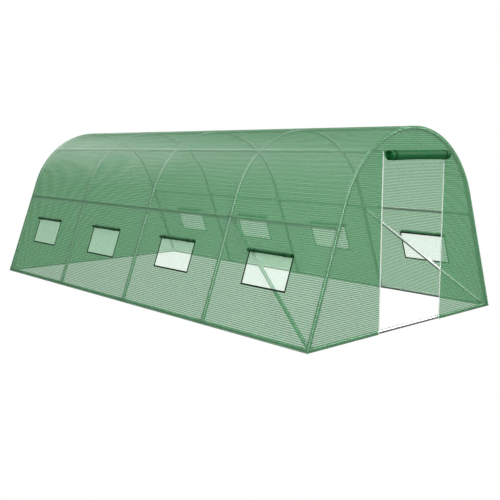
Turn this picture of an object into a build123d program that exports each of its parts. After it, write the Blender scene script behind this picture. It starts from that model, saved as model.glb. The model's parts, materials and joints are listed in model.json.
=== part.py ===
from build123d import *
from math import atan, cos, sin, sqrt, degrees, radians, pi
import os

# Walk-in polytunnel greenhouse, 6 m long, 3 m wide and 2 m high, in millimetres.
#
# A galvanised tube frame of five hoops stands on base rails. Each hoop is two straight legs that lean in,
# and four bent tubes over the top. Five lines of purlins join the hoops: one at the ridge, two at the
# shoulders and two at the eaves. A diagonal brace stiffens each side of the bay behind the door.
# Cross and corner connectors hold the tube ends. A woven cover is stretched over the frame, with a flat
# gable panel at each end, four net windows in each side with their flaps rolled up, and a zipped door
# in the front gable whose flap is rolled up over the doorway.
#
# Frame: +Z up, +Y along the tunnel from the door end to the rear, +X to the right as seen from the door.
# The origin is at ground level, in the middle of the overall box.

os.makedirs("parts", exist_ok=True)

# ---------------------------------------------------------------- driving dimensions
HALF_W = 1500.0        # outer half width of the cover at the ground
HEIGHT = 2000.0        # outer height of the cover at the ridge
LEAN = 0.37            # inward lean of the legs, sideways per upward
BAY = 1488.0           # hoop spacing
N_BAYS = 4
TUBE_R = 19.0          # frame tube, 38 mm outside
SLEEVE_R = 20.9        # connector sleeve round the hoop, outside
SOCKET_R = 20.5        # connector sockets for the purlins, outside
BORE_R = 19.2          # sleeve and socket, inside
COVER_T = 2.0          # cover as modelled (the real film is about 0.3 mm)
COVER_GAP = 22.0       # hoop centreline to the inner face of the cover
ARM = 60.0             # reach of a cross connector's arms
BASE_ARM = 84.0        # reach of a base connector's arms
CORE = 29.0            # solid core of a base connector
CORE_R = 21.2
EAVE_Z = 1075.0        # height of the eave purlins
SHOULDER_DEG = 38.0    # angle of the shoulder purlins from the ridge
DOOR_HALF = 495.0      # half width of the doorway
DOOR_TOP = 1706.0      # top of the doorway, behind the roll
ZIP_TOP = 1754.0
ZIP_W = 14.0
ZIP_T = 1.0
DOOR_ROLL_R = 48.0
DOOR_ROLL_HALF = 482.0
DOOR_ROLL_Z = 1716.0
WIN_W = 600.0          # window opening along the tunnel
WIN_S0 = 497.0         # window opening, up the slope of the wall
WIN_S1 = 827.0
WIN_SHIFT_RIGHT = -36.0 # the right side's windows sit this much nearer the door
BORDER_W = 12.0
BORDER_T = 1.0
NET_T = 1.0
WIN_ROLL_R = 20.0
WIN_ROLL_LEN = 612.0
WIN_ROLL_S = 834.0
STRAP_T = 1.2          # ties round the rolls
FOOT_CUT = 0.6         # flat along the underside of the base connectors
HEM_H = 46.0
HEM_T = 2.0
BRACE_TAB_W = 34.0
BRACE_TAB_T = 3.0

# ---------------------------------------------------------------- derived geometry
LEAN_ANGLE = atan(LEAN)
CA, SA = cos(LEAN_ANGLE), sin(LEAN_ANGLE)
ZC = (HEIGHT - HALF_W * CA) / (1 - SA)      # height of the arch's centre
R_OUT = HEIGHT - ZC                         # outer face of the cover
R_IN = R_OUT - COVER_T                      # inner face of the cover
R_TUBE = R_IN - COVER_GAP                   # hoop centreline
TANGENT_DEG = 90.0 - degrees(LEAN_ANGLE)    # where the leg meets the arch, from the ridge
END_Y = BAY * N_BAYS / 2                    # end hoops
GABLE_IN = END_Y + COVER_GAP
GABLE_OUT = GABLE_IN + COVER_T
HOOPS_Y = [-END_Y + BAY * i for i in range(N_BAYS + 1)]
ROLL_Y = -GABLE_OUT - ZIP_T - STRAP_T - DOOR_ROLL_R
FRONT_REACH = -ROLL_Y + DOOR_ROLL_R + STRAP_T
REAR_REACH = GABLE_OUT + HEM_T
SHIFT_Y = (FRONT_REACH - REAR_REACH) / 2    # puts the origin at the middle of the box
BASE_Z = SOCKET_R - FOOT_CUT                # base connectors rest on the ground


def leg_x(z, radius):
    """Half width of the leg line at height z, for the face whose arch has that radius."""
    return (radius + ZC * SA - z * SA) / CA


def on_arch(deg, radius):
    t = radians(deg)
    return radius * sin(t), ZC + radius * cos(t)


BASE_X = leg_x(BASE_Z, R_TUBE)
EAVE_X = leg_x(EAVE_Z, R_TUBE)
RIDGE_Z = ZC + R_TUBE


# ---------------------------------------------------------------- helpers
def rod(p, q, r=TUBE_R):
    p, q = Vector(*p), Vector(*q)
    d = q - p
    return Solid.make_cylinder(r, d.length, Plane(p, z_dir=d))


def arch_rod(y, deg0, deg1, r=TUBE_R):
    """Bent tube on the hoop's centreline from one angle to the other, measured from the ridge."""
    x, z = on_arch(deg0, R_TUBE)
    t = radians(deg0)
    section = Plane((x, y, z), x_dir=(0, 1, 0), z_dir=(cos(t), 0, -sin(t))) * Circle(r)
    return revolve(section, axis=Axis((0, y, ZC), (0, 1, 0)), revolution_arc=deg1 - deg0)


def shell(deg0, deg1, y0, y1):
    """Curved piece of cover between two angles."""
    face = Plane.YZ * Polygon(
        (y0, ZC + R_IN), (y1, ZC + R_IN), (y1, ZC + R_OUT), (y0, ZC + R_OUT), align=None
    )
    face = face.rotate(Axis((0, 0, ZC), (0, 1, 0)), deg0)
    return revolve(face, axis=Axis((0, 0, ZC), (0, 1, 0)), revolution_arc=deg1 - deg0)


def prism_y(points, y0, y1):
    """Polygon in X and Z, extruded from y0 to y1."""
    face = make_face(Polyline([(x, y0, z) for x, z in points], close=True))
    return extrude(face, amount=y1 - y0, dir=(0, 1, 0))


def mirror_x(shape):
    return mirror(shape, about=Plane.YZ)


def wall_plane(y, s, out):
    """Plane on the right wall: s up the slope from the ground, out from the cover's outer face."""
    x = HALF_W - s * SA + out * CA
    z = s * CA + out * SA
    return Plane((x, y, z), x_dir=(0, 1, 0), z_dir=(CA, 0, SA))


def solids_of(shape):
    if isinstance(shape, (list, tuple, ShapeList)):
        out = []
        for s in shape:
            out += solids_of(s)
        return out
    return list(shape.solids())


def save(name, *shapes):
    found = [s for shape in shapes for s in solids_of(shape)]
    placed = Compound(children=[s.moved(Location((0, SHIFT_Y, 0))) for s in found])
    placed.label = name
    export_step(placed, f"parts/{name}.step")
    print(name, len(found), "solids, volume", round(sum(s.volume for s in found)))


# ---------------------------------------------------------------- hoops
GAP_DEG = degrees(1.0 / R_TUBE)
leg_up = Vector(-SA, 0, CA)      # up the right leg


def lower_bend(y):
    """Bent tube from the eave connector to the shoulder connector, on the right side."""
    tx, tz = on_arch(TANGENT_DEG, R_TUBE)
    start = Vector(EAVE_X, y, EAVE_Z) + leg_up * 1.0
    straight = rod(start, (tx, y, tz))
    bend = arch_rod(y, SHOULDER_DEG + GAP_DEG, TANGENT_DEG)
    return straight + bend


def hoop(y):
    base = Vector(BASE_X, y, BASE_Z)
    eave = Vector(EAVE_X, y, EAVE_Z)
    leg = rod(base + leg_up * CORE, eave - leg_up * 1.0)
    low = lower_bend(y)
    high = arch_rod(y, GAP_DEG, SHOULDER_DEG - GAP_DEG)
    right = [leg, low, high]
    return right + [mirror_x(s) for s in right]


for label, y in zip(["hoop_front", "hoop_second", "hoop_middle", "hoop_fourth", "hoop_rear"], HOOPS_Y):
    save(label, hoop(y))


# ---------------------------------------------------------------- purlins and base rails
def line_of_tubes(x, z, clear):
    return [rod((x, a + clear, z), (x, b - clear, z)) for a, b in zip(HOOPS_Y, HOOPS_Y[1:])]


CLEAR = SLEEVE_R + 1.0
SX, SZ = on_arch(SHOULDER_DEG, R_TUBE)
save("ridge_purlin", line_of_tubes(0, RIDGE_Z, CLEAR))
save("shoulder_purlin_right", line_of_tubes(SX, SZ, CLEAR))
save("shoulder_purlin_left", line_of_tubes(-SX, SZ, CLEAR))
save("eave_purlin_right", line_of_tubes(EAVE_X, EAVE_Z, CLEAR))
save("eave_purlin_left", line_of_tubes(-EAVE_X, EAVE_Z, CLEAR))
save("base_rail_right", line_of_tubes(BASE_X, BASE_Z, CORE))
save("base_rail_left", line_of_tubes(-BASE_X, BASE_Z, CORE))
save("base_rail_front", rod((-BASE_X + CORE, -END_Y, BASE_Z), (BASE_X - CORE, -END_Y, BASE_Z)))
save("base_rail_rear", rod((-BASE_X + CORE, END_Y, BASE_Z), (BASE_X - CORE, END_Y, BASE_Z)))


# ---------------------------------------------------------------- diagonal braces
def brace():
    """Tube with pressed flat ends, bolted inside the eave connector of the second hoop and the front corner's rail sleeve."""
    inward = Vector(-CA, 0, -SA)
    off = CORE_R + 0.4 + BRACE_TAB_T / 2
    top = Vector(EAVE_X, -END_Y + BAY, EAVE_Z) + inward * off
    foot = Vector(BASE_X, -END_Y + 30.0, BASE_Z) + leg_up * 22.0 + inward * off
    along = (foot - top).normalized()
    length = (foot - top).length
    over, flat, taper = 12.0, 40.0, 52.0          # past the bolt, flat, and flat to round, at the top
    over_foot, flat_foot, taper_foot = 6.0, 14.0, 34.0

    def at(t):
        return Plane(top + along * t, x_dir=inward, z_dir=along)

    def tab(t0, t1):
        return extrude(at(t0) * Rectangle(BRACE_TAB_T, BRACE_TAB_W), amount=t1 - t0)

    def swage(t0, t1):
        # t0 is the flat end, t1 the round end
        return loft([at(t0) * Rectangle(BRACE_TAB_T, BRACE_TAB_W), at(t1) * Circle(TUBE_R)])

    body = rod(top + along * (flat + taper), top + along * (length - flat_foot - taper_foot))
    return (
        tab(-over, flat)
        + swage(flat, flat + taper)
        + body
        + swage(length - flat_foot, length - flat_foot - taper_foot)
        + tab(length - flat_foot, length + over_foot)
    )


right_brace = brace()
save("brace_right", right_brace)
save("brace_left", mirror_x(right_brace))


# ---------------------------------------------------------------- connectors
def sides(y):
    """Directions along the tunnel in which a hoop has a purlin."""
    return ([-1] if y > -END_Y + 1 else []) + ([1] if y < END_Y - 1 else [])


def add_sockets(sleeve, hole, x, y, z):
    """Welds a purlin socket to each side of a sleeve. The sleeve's wall closes its inner end."""
    for d in sides(y):
        sleeve = sleeve + rod((x, y, z), (x, y + d * ARM, z), SOCKET_R)
    sleeve = sleeve - hole
    for d in sides(y):
        sleeve = sleeve - rod((x, y + d * (SLEEVE_R + 0.5), z), (x, y + d * (ARM + 5), z), BORE_R)
    return sleeve


def arch_cross(y, deg):
    """Sleeve round the joint of two bent tubes, with a socket for each purlin."""
    half = degrees(ARM / R_TUBE)
    x, z = on_arch(deg, R_TUBE)
    sleeve = arch_rod(y, deg - half, deg + half, SLEEVE_R)
    return add_sockets(sleeve, arch_rod(y, deg - half - 1, deg + half + 1, BORE_R), x, y, z)


def eave_cross(y):
    c = Vector(EAVE_X, y, EAVE_Z)
    sleeve = rod(c - leg_up * ARM, c + leg_up * ARM, SLEEVE_R)
    return add_sockets(sleeve, rod(c - leg_up * (ARM + 5), c + leg_up * (ARM + 5), BORE_R), EAVE_X, y, EAVE_Z)


def base_corner(y):
    """Foot of a leg: a cast core with a sleeve up the leg, one along each base rail and, at an end, one across."""
    c = Vector(BASE_X, y, BASE_Z)
    reach = [(leg_up, SOCKET_R - 0.2)]
    reach += [(Vector(0, d, 0), SOCKET_R) for d in sides(y)]
    if abs(abs(y) - END_Y) < 1:
        reach.append((Vector(-1, 0, 0), SOCKET_R - 0.1))
    body = Pos(BASE_X, y, BASE_Z) * Sphere(CORE_R)
    for d, r in reach:
        body = body + rod(c, c + d * BASE_ARM, r)
    for d, r in reach:
        body = body - rod(c + d * CORE, c + d * (BASE_ARM + 5), BORE_R)
    return body - Pos(BASE_X, y, -50) * Box(300, 300, 100)


ridge, shoulders, eaves, bases = [], [], [], []
for y in HOOPS_Y:
    ridge.append(arch_cross(y, 0.0))
    s = arch_cross(y, SHOULDER_DEG)
    shoulders += [s, mirror_x(s)]
    e = eave_cross(y)
    eaves += [e, mirror_x(e)]
    b = base_corner(y)
    bases += [b, mirror_x(b)]
save("ridge_connectors", ridge)
save("shoulder_connectors", shoulders)
save("eave_connectors", eaves)
save("base_connectors", bases)


# ---------------------------------------------------------------- cover
WINDOWS_LEFT = [a + BAY / 2 for a in HOOPS_Y[:-1]]
WINDOWS_RIGHT = [y + WIN_SHIFT_RIGHT for y in WINDOWS_LEFT]
WIN_MID = (WIN_S0 + WIN_S1) / 2
WIN_H = WIN_S1 - WIN_S0
t_out = on_arch(TANGENT_DEG, R_OUT)
t_in = on_arch(TANGENT_DEG, R_IN)


def wall_cover(windows_y):
    """Right wall of the cover, with its window openings cut through."""
    wall = prism_y(
        [(HALF_W, 0), t_out, t_in, (leg_x(0, R_IN), 0)], -GABLE_OUT, GABLE_OUT
    )
    for y in windows_y:
        wall = wall - wall_plane(y, WIN_MID, -10) * Box(
            WIN_W, WIN_H, 20, align=(Align.CENTER, Align.CENTER, Align.MIN)
        )
    return wall


save("cover_side_right", wall_cover(WINDOWS_RIGHT))
save("cover_side_left", mirror_x(wall_cover(WINDOWS_LEFT)))

save("cover_roof_right_lower", shell(SHOULDER_DEG, TANGENT_DEG, -GABLE_OUT, GABLE_OUT))
save("cover_roof_right_upper", shell(0, SHOULDER_DEG, -GABLE_OUT, GABLE_OUT))
save("cover_roof_left_upper", shell(-SHOULDER_DEG, 0, -GABLE_OUT, GABLE_OUT))
save("cover_roof_left_lower", shell(-TANGENT_DEG, -SHOULDER_DEG, -GABLE_OUT, GABLE_OUT))


def gable(y0, y1):
    """Flat end panel inside the roof cover."""
    foot = leg_x(0, R_IN)
    tx, tz = on_arch(TANGENT_DEG, R_IN)
    edge = Polyline([(-tx, y0, tz), (-foot, y0, 0), (foot, y0, 0), (tx, y0, tz)])
    top = ThreePointArc((tx, y0, tz), (0, y0, ZC + R_IN), (-tx, y0, tz))
    return extrude(make_face([*edge.edges(), top.edge()]), amount=y1 - y0, dir=(0, 1, 0))


def block(x0, x1, y0, y1, z0, z1):
    return Pos((x0 + x1) / 2, (y0 + y1) / 2, (z0 + z1) / 2) * Box(x1 - x0, y1 - y0, z1 - z0)


front = gable(-GABLE_OUT, -GABLE_IN)
FAR = 5000
save("gable_front_left", front & block(-FAR, -DOOR_HALF, -FAR, FAR, -1, FAR))
save("gable_front_right", front & block(DOOR_HALF, FAR, -FAR, FAR, -1, FAR))
save("gable_front_top", front & block(-DOOR_HALF, DOOR_HALF, -FAR, FAR, DOOR_TOP, FAR))
save("gable_rear", gable(GABLE_IN, GABLE_OUT))

# hem: a doubled band round the foot of the cover, open at the doorway
hem_side = prism_y(
    [
        (HALF_W, 0),
        (HALF_W + HEM_T / CA, 0),
        (HALF_W + HEM_T / CA - HEM_H * LEAN, HEM_H),
        (HALF_W - HEM_H * LEAN, HEM_H),
    ],
    -GABLE_OUT,
    GABLE_OUT,
)
hem_end = [(-HALF_W, 0), (HALF_W, 0), (HALF_W - HEM_H * LEAN, HEM_H), (-HALF_W + HEM_H * LEAN, HEM_H)]
hem_front = prism_y(hem_end, -GABLE_OUT - HEM_T, -GABLE_OUT)
hem_rear = prism_y(hem_end, GABLE_OUT, GABLE_OUT + HEM_T)
save(
    "ground_hem",
    hem_side,
    mirror_x(hem_side),
    hem_front & block(DOOR_HALF + ZIP_W, FAR, -FAR, FAR, -1, FAR),
    hem_front & block(-FAR, -DOOR_HALF - ZIP_W, -FAR, FAR, -1, FAR),
    hem_rear,
)

# ---------------------------------------------------------------- windows
ROLL_OUT = BORDER_T + STRAP_T + WIN_ROLL_R


def window_pieces(windows_y):
    """Nets, borders, rolled flaps and ties of the right wall's windows."""
    nets, borders, rolls, ties = [], [], [], []
    for y in windows_y:
        behind = wall_plane(y, WIN_MID, -COVER_T - NET_T)
        nets.append(
            behind * Box(WIN_W + 20, WIN_H + 20, NET_T, align=(Align.CENTER, Align.CENTER, Align.MIN))
        )
        face = wall_plane(y, WIN_MID, 0)
        ring = Box(WIN_W + 2 * BORDER_W, WIN_H + 2 * BORDER_W, BORDER_T, align=(Align.CENTER, Align.CENTER, Align.MIN))
        hole = Box(WIN_W, WIN_H, 4 * BORDER_T)
        borders.append(face * (ring - hole))
        c = wall_plane(y, WIN_ROLL_S, ROLL_OUT).origin
        rolls.append(rod((c.X, y - WIN_ROLL_LEN / 2, c.Z), (c.X, y + WIN_ROLL_LEN / 2, c.Z), WIN_ROLL_R))
        for dy in (-210.0, 210.0):
            band = rod((c.X, y + dy - 9, c.Z), (c.X, y + dy + 9, c.Z), WIN_ROLL_R + STRAP_T) - rod(
                (c.X, y + dy - 20, c.Z), (c.X, y + dy + 20, c.Z), WIN_ROLL_R + 0.1
            )
            ties.append(band)
    return nets, borders, rolls, ties


right = window_pieces(WINDOWS_RIGHT)
left = [[mirror_x(s) for s in group] for group in window_pieces(WINDOWS_LEFT)]
for label, r, l in zip(["window_nets", "window_borders", "window_rolls"], right, left):
    save(label + "_right", r)
    save(label + "_left", l)
save("window_straps", right[3], left[3])

# ---------------------------------------------------------------- door
save("door_roll", rod((-DOOR_ROLL_HALF, ROLL_Y, DOOR_ROLL_Z), (DOOR_ROLL_HALF, ROLL_Y, DOOR_ROLL_Z), DOOR_ROLL_R))
door_straps = []
for x in (-DOOR_ROLL_HALF + 70, DOOR_ROLL_HALF - 70):
    band = rod((x - 14, ROLL_Y, DOOR_ROLL_Z), (x + 14, ROLL_Y, DOOR_ROLL_Z), DOOR_ROLL_R + STRAP_T) - rod(
        (x - 30, ROLL_Y, DOOR_ROLL_Z), (x + 30, ROLL_Y, DOOR_ROLL_Z), DOOR_ROLL_R + 0.1
    )
    door_straps.append(band)
save("door_roll_straps", door_straps)
save("door_zip_right", block(DOOR_HALF - 2, DOOR_HALF - 2 + ZIP_W, -GABLE_OUT - ZIP_T, -GABLE_OUT, 0, ZIP_TOP))
save("door_zip_left", block(-DOOR_HALF + 2 - ZIP_W, -DOOR_HALF + 2, -GABLE_OUT - ZIP_T, -GABLE_OUT, 0, ZIP_TOP))

print("arch centre z", round(ZC, 2), "outer radius", round(R_OUT, 2), "tube radius line", round(R_TUBE, 2))
print("base x", round(BASE_X, 2), "eave x", round(EAVE_X, 2), "shoulder", round(SX, 2), round(SZ, 2), "ridge z", round(RIDGE_Z, 2))
print("shift y", SHIFT_Y, "tangent outer", t_out)
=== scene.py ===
"""Looks of the polytunnel greenhouse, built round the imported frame. Metres, in the same frame as the CAD."""
import json
import math
import random

import bpy
import numpy as np
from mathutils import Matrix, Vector

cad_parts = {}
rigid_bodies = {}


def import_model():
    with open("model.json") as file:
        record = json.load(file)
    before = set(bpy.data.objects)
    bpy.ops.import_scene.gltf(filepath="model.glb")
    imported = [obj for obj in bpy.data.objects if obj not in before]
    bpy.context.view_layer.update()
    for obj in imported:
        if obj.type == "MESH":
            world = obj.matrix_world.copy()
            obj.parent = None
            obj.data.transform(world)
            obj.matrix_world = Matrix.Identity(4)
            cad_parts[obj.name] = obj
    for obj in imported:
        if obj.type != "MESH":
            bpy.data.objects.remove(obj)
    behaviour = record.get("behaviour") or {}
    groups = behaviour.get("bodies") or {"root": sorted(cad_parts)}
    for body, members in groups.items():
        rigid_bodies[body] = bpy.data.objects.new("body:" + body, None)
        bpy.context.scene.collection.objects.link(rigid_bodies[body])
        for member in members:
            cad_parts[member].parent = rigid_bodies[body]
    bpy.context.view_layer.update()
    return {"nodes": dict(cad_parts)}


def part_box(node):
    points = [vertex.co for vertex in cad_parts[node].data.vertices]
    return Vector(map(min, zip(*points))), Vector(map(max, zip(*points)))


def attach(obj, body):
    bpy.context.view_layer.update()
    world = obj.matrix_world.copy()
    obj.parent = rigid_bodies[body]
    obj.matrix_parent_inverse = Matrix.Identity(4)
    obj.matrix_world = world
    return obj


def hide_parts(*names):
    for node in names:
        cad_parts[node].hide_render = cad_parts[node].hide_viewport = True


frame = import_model()
nodes = frame["nodes"]
random.seed(7)
rng = np.random.default_rng(7)

# ------------------------------------------------------------------ sizes, in metres
HALF_W, HEIGHT, LEAN = 1.5, 2.0, 0.37
BAY = 1.488
TUBE_R, SLEEVE_R, SOCKET_R = 0.019, 0.0209, 0.0205
LA = math.atan(LEAN)
CA, SA = math.cos(LA), math.sin(LA)
ZC = (HEIGHT - HALF_W * CA) / (1 - SA)
R_OUT = HEIGHT - ZC
R_TUBE = R_OUT - 0.024
TAN = math.pi / 2 - LA                 # where the wall meets the arch, from the ridge
WALL = (ZC + R_OUT * SA) / CA          # slope length of a wall
ARCH = 2 * TAN * R_OUT
TOTAL = 2 * WALL + ARCH
lo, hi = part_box("hoop_middle")
SY = (lo[1] + hi[1]) / 2               # middle of the tunnel along Y
HOOPS = [SY + BAY * k for k in (-2, -1, 0, 1, 2)]
END = 3.0                              # outer face of a gable from the middle
EAVE_Z, SHOULDER = 1.075, math.radians(38)
EAVE_S = EAVE_Z / CA
DOOR_HALF, DOOR_TOP = 0.495, 1.706
ZIP_IN, ZIP_OUT, ZIP_TOP = 0.493, 0.507, 1.754
WIN_HALF, WIN_S0, WIN_S1 = 0.300, 0.497, 0.827
BORDER = 0.012
WIN_Y = [[(a + b) / 2 for a, b in zip(HOOPS, HOOPS[1:])]]
WIN_Y.append([y - 0.036 for y in WIN_Y[0]])      # the right side's sit nearer the door
lo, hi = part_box("door_roll")
DR_Y, DR_Z, DR_R, DR_HALF = (lo[1] + hi[1]) / 2, (lo[2] + hi[2]) / 2, (hi[2] - lo[2]) / 2, (hi[0] - lo[0]) / 2
WR_R, WR_HALF, WR_S = 0.020, 0.306, 0.834
FILM_OFF = -0.0022                     # the film lies just over the tubes and sleeves
BASE_X, BASE_Z = 1.46705, 0.0199


# ------------------------------------------------------------------ material helpers
class Mat:
    def __init__(self, name):
        self.m = bpy.data.materials.new(name)
        self.m.use_nodes = True
        self.t = self.m.node_tree
        self.t.nodes.clear()
        self.out = self.t.nodes.new("ShaderNodeOutputMaterial")

    def node(self, kind, **inputs):
        n = self.t.nodes.new(kind)
        for k, v in inputs.items():
            if hasattr(n, k) and k not in n.inputs:
                setattr(n, k, v)
        return n

    def link(self, a, b):
        self.t.links.new(a, b)

    def math(self, op, a, b=None, c=None, clamp=False):
        n = self.t.nodes.new("ShaderNodeMath")
        n.operation = op
        n.use_clamp = clamp
        for i, v in enumerate((a, b, c)):
            if v is None:
                continue
            if isinstance(v, (int, float)):
                n.inputs[i].default_value = v
            else:
                self.link(v, n.inputs[i])
        return n.outputs[0]

    def attr(self, name="cloth"):
        n = self.t.nodes.new("ShaderNodeAttribute")
        n.attribute_name = name
        s = self.t.nodes.new("ShaderNodeSeparateXYZ")
        self.link(n.outputs["Vector"], s.inputs[0])
        return n.outputs["Vector"], s.outputs[0], s.outputs[1]

    def coords(self):
        n = self.t.nodes.new("ShaderNodeTexCoord")
        return n.outputs["Object"]

    def noise(self, vec, scale, detail=2.0, rough=0.5, stretch=None):
        if stretch:
            mp = self.t.nodes.new("ShaderNodeMapping")
            mp.inputs["Scale"].default_value = stretch
            self.link(vec, mp.inputs["Vector"])
            vec = mp.outputs[0]
        n = self.t.nodes.new("ShaderNodeTexNoise")
        n.inputs["Scale"].default_value = scale
        n.inputs["Detail"].default_value = detail
        n.inputs["Roughness"].default_value = rough
        self.link(vec, n.inputs["Vector"])
        return n.outputs["Fac"]

    def ramp(self, fac, stops):
        n = self.t.nodes.new("ShaderNodeValToRGB")
        cr = n.color_ramp
        while len(cr.elements) < len(stops):
            cr.elements.new(0.5)
        for e, (p, c) in zip(cr.elements, stops):
            e.position = p
            e.color = (*c, 1) if len(c) == 3 else c
        self.link(fac, n.inputs[0])
        return n.outputs["Color"]

    def mixc(self, fac, a, b, blend="MIX"):
        n = self.t.nodes.new("ShaderNodeMix")
        n.data_type = "RGBA"
        n.blend_type = blend
        for sock, v in ((n.inputs[0], fac), (n.inputs[6], a), (n.inputs[7], b)):
            if isinstance(v, (int, float)):
                sock.default_value = v
            elif isinstance(v, tuple):
                sock.default_value = (*v, 1)
            else:
                self.link(v, sock)
        return n.outputs[2]

    def remap(self, v, a, b, c, d):
        n = self.t.nodes.new("ShaderNodeMapRange")
        self.link(v, n.inputs[0])
        for i, x in enumerate((a, b, c, d)):
            n.inputs[i + 1].default_value = x
        return n.outputs[0]

    def bump(self, height, strength, distance):
        n = self.t.nodes.new("ShaderNodeBump")
        n.inputs["Strength"].default_value = strength
        n.inputs["Distance"].default_value = distance
        self.link(height, n.inputs["Height"])
        return n.outputs[0]

    def wave(self, x, period, phase=0.0):
        """0 to 1, once each period."""
        s = self.math("MULTIPLY", x, 2 * math.pi / period)
        if phase:
            s = self.math("ADD", s, phase)
        s = self.math("SINE", s)
        return self.math("MULTIPLY_ADD", s, 0.5, 0.5)

    def principled(self, **kw):
        n = self.t.nodes.new("ShaderNodeBsdfPrincipled")
        for k, v in kw.items():
            sock = n.inputs[k.replace("_", " ")]
            if isinstance(v, (int, float)):
                sock.default_value = v
            elif isinstance(v, tuple):
                sock.default_value = (*v, 1) if len(v) == 3 else v
            else:
                self.link(v, sock)
        return n

    def surface(self, sh):
        self.link(sh, self.out.inputs["Surface"])
        return self.m


def s2l(c):
    """sRGB 0-255 to linear."""
    out = []
    for v in c:
        v /= 255
        out.append(v / 12.92 if v <= 0.04045 else ((v + 0.055) / 1.055) ** 2.4)
    return tuple(out)


# ------------------------------------------------------------------ materials
def scaled(colour, k):
    return tuple(min(1.0, c * k) for c in colour)


def film_material(name, colour, glow, low, high, passed, rib=0.020, float_=0.085, pale=1.36, deep=0.72):
    """Thin film laminated over a woven grid. low and high are how much a bare spot and a thread hold back.
    colour is what the face scatters, glow what comes through from behind, pale and deep how both vary."""
    m = Mat(name)
    vec, a, s = m.attr()
    obj = m.coords()
    cloud = m.noise(obj, 1.6, 3.0, 0.5)
    # ribs across the slope, each broken into floats that are set off from the next row's
    row = m.math("FLOOR", m.math("ADD", m.math("DIVIDE", s, rib), 0.25))
    off = m.math("MULTIPLY", row, float_ * 0.5)
    wander = m.math("MULTIPLY_ADD", m.noise(vec, 1.0, 1.0, 0.5, stretch=(3, 30, 1)), float_ * 1.6, -float_ * 0.8)
    float_w = m.wave(m.math("ADD", m.math("ADD", a, off), wander), float_)
    rib_w = m.math("POWER", m.wave(s, rib), 0.85)
    uneven = m.remap(m.noise(vec, 1.0, 2.0, 0.6, stretch=(20, 120, 1)), 0.3, 0.7, 0.78, 1.08)
    thread = m.math("MULTIPLY", rib_w, m.math("MULTIPLY", m.math("MULTIPLY_ADD", float_w, 0.16, 0.84), uneven))
    # fine threads along the slope
    fine = m.wave(a, 0.0042)
    fine2 = m.wave(s, 0.0040)
    weave = m.math("MULTIPLY", fine, fine2)
    thread = m.math("ADD", thread, m.math("MULTIPLY_ADD", weave, 0.16, -0.04), clamp=True)
    base = m.mixc(thread, scaled(colour, pale), scaled(colour, deep))
    base = m.mixc(m.remap(cloud, 0.3, 0.7, 0.0, 0.12), base, scaled(colour, 1.25))
    height = m.math("ADD", thread, m.math("MULTIPLY", weave, 0.3))
    normal = m.bump(height, 0.35, 0.0006)
    p = m.principled(Base_Color=base, Roughness=m.remap(cloud, 0.3, 0.7, 0.42, 0.52), Normal=normal)
    p.inputs["Specular IOR Level"].default_value = 0.32
    tr = m.t.nodes.new("ShaderNodeBsdfTranslucent")
    m.link(m.mixc(thread, scaled(glow, 1.34), scaled(glow, 0.72)), tr.inputs["Color"])
    m.link(normal, tr.inputs["Normal"])
    body = m.t.nodes.new("ShaderNodeMixShader")
    body.inputs[0].default_value = 0.42
    m.link(p.outputs[0], body.inputs[1])
    m.link(tr.outputs[0], body.inputs[2])
    clear = m.t.nodes.new("ShaderNodeBsdfTransparent")
    clear.inputs[0].default_value = (*passed, 1)
    mix = m.t.nodes.new("ShaderNodeMixShader")
    m.link(m.math("MULTIPLY_ADD", thread, high - low, low, clamp=True), mix.inputs[0])
    m.link(clear.outputs[0], mix.inputs[1])
    m.link(body.outputs[0], mix.inputs[2])
    return m.surface(mix.outputs[0])


def hem_material(name, colour, glow, hold, passed):
    """Second layer of the same film, folded over and sewn: smooth, with the fold's faint creases."""
    m = Mat(name)
    vec, a, s = m.attr()
    obj = m.coords()
    cloud = m.noise(obj, 3.0, 3.0, 0.5)
    crease = m.noise(vec, 1.0, 3.0, 0.6, stretch=(14, 90, 1))
    weave = m.math("MULTIPLY", m.wave(a, 0.0042), m.wave(s, 0.0040))
    base = m.mixc(m.remap(cloud, 0.3, 0.7, 0.0, 0.5), colour, scaled(colour, 1.2))
    normal = m.bump(m.math("ADD", crease, m.math("MULTIPLY", weave, 0.3)), 0.3, 0.0008)
    p = m.principled(Base_Color=base, Roughness=m.remap(cloud, 0.3, 0.7, 0.48, 0.58), Normal=normal)
    p.inputs["Specular IOR Level"].default_value = 0.22
    tr = m.t.nodes.new("ShaderNodeBsdfTranslucent")
    m.link(m.mixc(m.remap(crease, 0.3, 0.7, 0.0, 1.0), glow, scaled(glow, 0.8)), tr.inputs["Color"])
    body = m.t.nodes.new("ShaderNodeMixShader")
    body.inputs[0].default_value = 0.40
    m.link(p.outputs[0], body.inputs[1])
    m.link(tr.outputs[0], body.inputs[2])
    clear = m.t.nodes.new("ShaderNodeBsdfTransparent")
    clear.inputs[0].default_value = (*passed, 1)
    mix = m.t.nodes.new("ShaderNodeMixShader")
    m.link(m.remap(crease, 0.3, 0.7, hold * 0.8, hold * 1.25), mix.inputs[0])
    m.link(clear.outputs[0], mix.inputs[1])
    m.link(body.outputs[0], mix.inputs[2])
    return m.surface(mix.outputs[0])


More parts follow.
